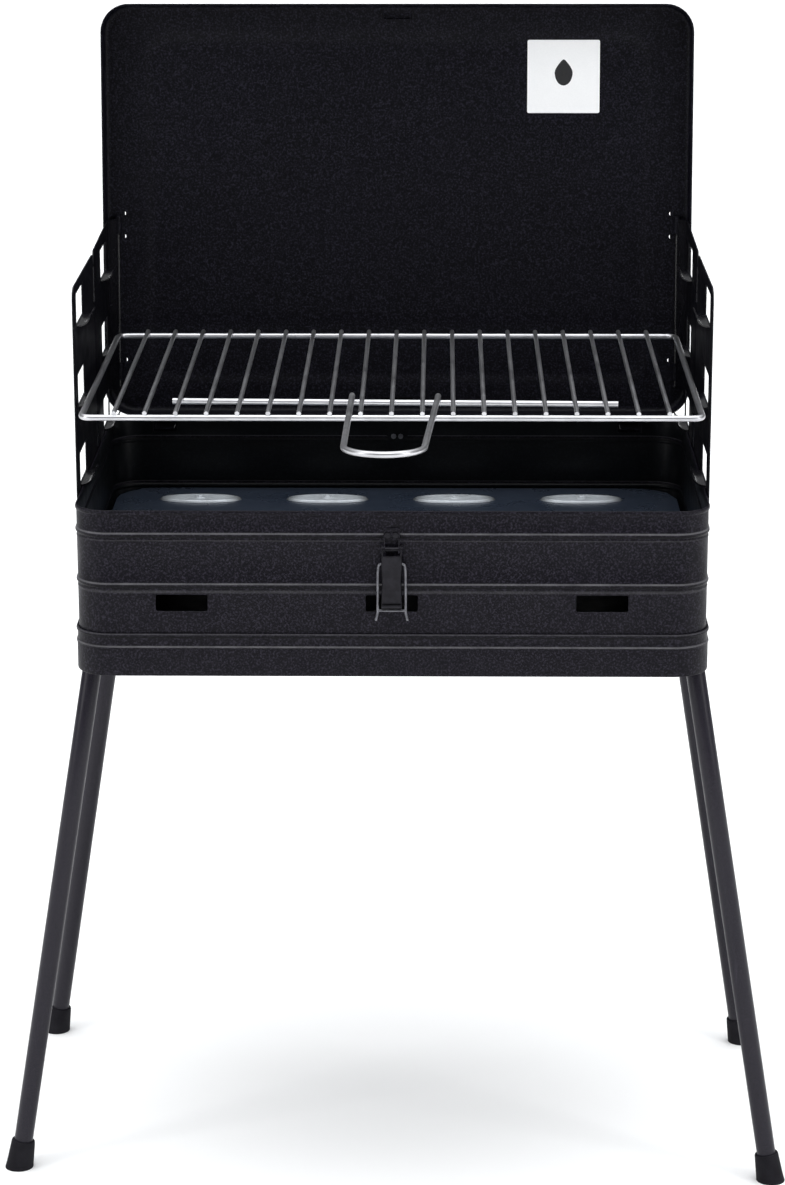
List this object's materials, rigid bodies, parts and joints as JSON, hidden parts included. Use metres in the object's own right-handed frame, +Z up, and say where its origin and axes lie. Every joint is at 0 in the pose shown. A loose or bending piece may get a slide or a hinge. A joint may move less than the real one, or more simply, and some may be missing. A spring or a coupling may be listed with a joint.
{
  "type": "folding camp grill",
  "caption": "Suitcase charcoal grill on folding splayed legs, lid standing as a wind shield with side panels, wire grate with lifting handle.",
  "frame": {"origin": "on the ground, under the middle of the footprint, 51 mm in front of the middle of the case", "axes": "+Z up, front towards -Y, +X to the right seen from the front"},
  "size_m": [0.533, 0.4699, 0.7645],
  "materials": {
    "case_paint": "fine-textured satin black powder coat",
    "lid_paint": "satin black powder coat, slightly blue",
    "leg_paint": "semi-matt dark grey paint",
    "foot_rubber": "matt moulded rubber",
    "tray_enamel": "glossy dark blue-grey enamel",
    "grate_chrome": "bright chrome plated wire",
    "hardware_zinc": "satin zinc plate",
    "label_film": "plain white label film"
  },
  "bodies": {
    "case": {"case_shell": "case_paint", "base_pan": "case_paint", "front_left_leg_bracket": "hardware_zinc", "front_left_leg_pin": "hardware_zinc", "front_left_bracket_rivet_1": "hardware_zinc", "front_left_bracket_rivet_2": "hardware_zinc", "front_right_leg_bracket": "hardware_zinc", "front_right_leg_pin": "hardware_zinc", "front_right_bracket_rivet_1": "hardware_zinc", "front_right_bracket_rivet_2": "hardware_zinc", "rear_left_leg_bracket": "hardware_zinc", "rear_left_leg_pin": "hardware_zinc", "rear_left_bracket_rivet_1": "hardware_zinc", "rear_left_bracket_rivet_2": "hardware_zinc", "rear_right_leg_bracket": "hardware_zinc", "rear_right_leg_pin": "hardware_zinc", "rear_right_bracket_rivet_1": "hardware_zinc", "rear_right_bracket_rivet_2": "hardware_zinc", "front_latch_base": "hardware_zinc", "front_latch_pin": "hardware_zinc", "front_latch_rivet_1": "hardware_zinc", "front_latch_rivet_2": "hardware_zinc", "rear_latch_base": "hardware_zinc", "rear_latch_pin": "hardware_zinc", "rear_latch_rivet_1": "hardware_zinc", "rear_latch_rivet_2": "hardware_zinc"},
    "charcoal_tray": {"charcoal_tray": "tray_enamel"},
    "front_left_leg": {"front_left_leg": "leg_paint", "front_left_foot": "foot_rubber"},
    "front_right_leg": {"front_right_leg": "leg_paint", "front_right_foot": "foot_rubber"},
    "rear_left_leg": {"rear_left_leg": "leg_paint", "rear_left_foot": "foot_rubber"},
    "rear_right_leg": {"rear_right_leg": "leg_paint", "rear_right_foot": "foot_rubber"},
    "front_lever": {"front_latch_lever": "hardware_zinc"},
    "front_bail": {"front_latch_bail": "hardware_zinc"},
    "rear_lever": {"rear_latch_lever": "hardware_zinc"},
    "rear_bail": {"rear_latch_bail": "hardware_zinc"},
    "lid": {"lid_shell": "lid_paint", "lid_label": "label_film", "left_rear_panel": "case_paint", "right_rear_panel": "case_paint", "left_panel_pin": "hardware_zinc", "right_panel_pin": "hardware_zinc"},
    "left_front_panel": {"left_front_panel": "case_paint"},
    "right_front_panel": {"right_front_panel": "case_paint"},
    "grate": {"grate": "grate_chrome"},
    "grate_handle": {"grate_handle": "grate_chrome"}
  },
  "joints": [
    {"name": "front_left_leg_fold", "type": "hinge", "parent": "case", "child": "front_left_leg", "pos_m": [-0.1966, -0.039, 0.375], "axis": [0, -0.9983, 0.0586], "range_deg": [0, 98.9]},
    {"name": "front_right_leg_fold", "type": "hinge", "parent": "case", "child": "front_right_leg", "pos_m": [0.1966, -0.055, 0.375], "axis": [0, 0.9983, -0.0586], "range_deg": [0, 98.9]},
    {"name": "rear_left_leg_fold", "type": "hinge", "parent": "case", "child": "rear_left_leg", "pos_m": [-0.1966, 0.157, 0.375], "axis": [0, -0.9983, -0.0586], "range_deg": [0, 98.9]},
    {"name": "rear_right_leg_fold", "type": "hinge", "parent": "case", "child": "rear_right_leg", "pos_m": [0.1966, 0.141, 0.375], "axis": [0, 0.9983, 0.0586], "range_deg": [0, 98.9]},
    {"name": "lid_lean", "type": "hinge", "parent": "case", "child": "lid", "pos_m": [0, 0.1965, 0.4717], "axis": [-1, 0, 0], "range_deg": [0, 12]},
    {"name": "left_front_panel_swing", "type": "hinge", "parent": "lid", "child": "left_front_panel", "pos_m": [-0.20775, 0.089, 0.535], "axis": [0, 0, -1], "range_deg": [0, 165]},
    {"name": "right_front_panel_swing", "type": "hinge", "parent": "lid", "child": "right_front_panel", "pos_m": [0.20775, 0.089, 0.535], "axis": [0, 0, 1], "range_deg": [0, 165]},
    {"name": "grate_draw", "type": "slide", "parent": "lid", "child": "grate", "axis": [0, -0.9842, 0.1772], "range_m": [0, 0.24]},
    {"name": "handle_tilt", "type": "hinge", "parent": "grate", "child": "grate_handle", "pos_m": [0, -0.092, 0.534], "axis": [-1, 0, 0], "range_deg": [0, 70]},
    {"name": "tray_lift", "type": "slide", "parent": "case", "child": "charcoal_tray", "axis": [0, 0, 1], "range_m": [0, 0.04]},
    {"name": "front_lever_swing", "type": "hinge", "parent": "case", "child": "front_lever", "pos_m": [0, -0.096, 0.4488], "axis": [-1, 0, 0], "range_deg": [0, 100]},
    {"name": "front_bail_swing", "type": "hinge", "parent": "front_lever", "child": "front_bail", "pos_m": [0, -0.096, 0.439], "axis": [-1, 0, 0], "range_deg": [0, 75]},
    {"name": "rear_lever_swing", "type": "hinge", "parent": "case", "child": "rear_lever", "pos_m": [0, 0.198, 0.4488], "axis": [1, 0, 0], "range_deg": [0, 90]},
    {"name": "rear_bail_swing", "type": "hinge", "parent": "rear_lever", "child": "rear_bail", "pos_m": [0, 0.198, 0.439], "axis": [1, 0, 0], "range_deg": [0, 60]}
  ]
}
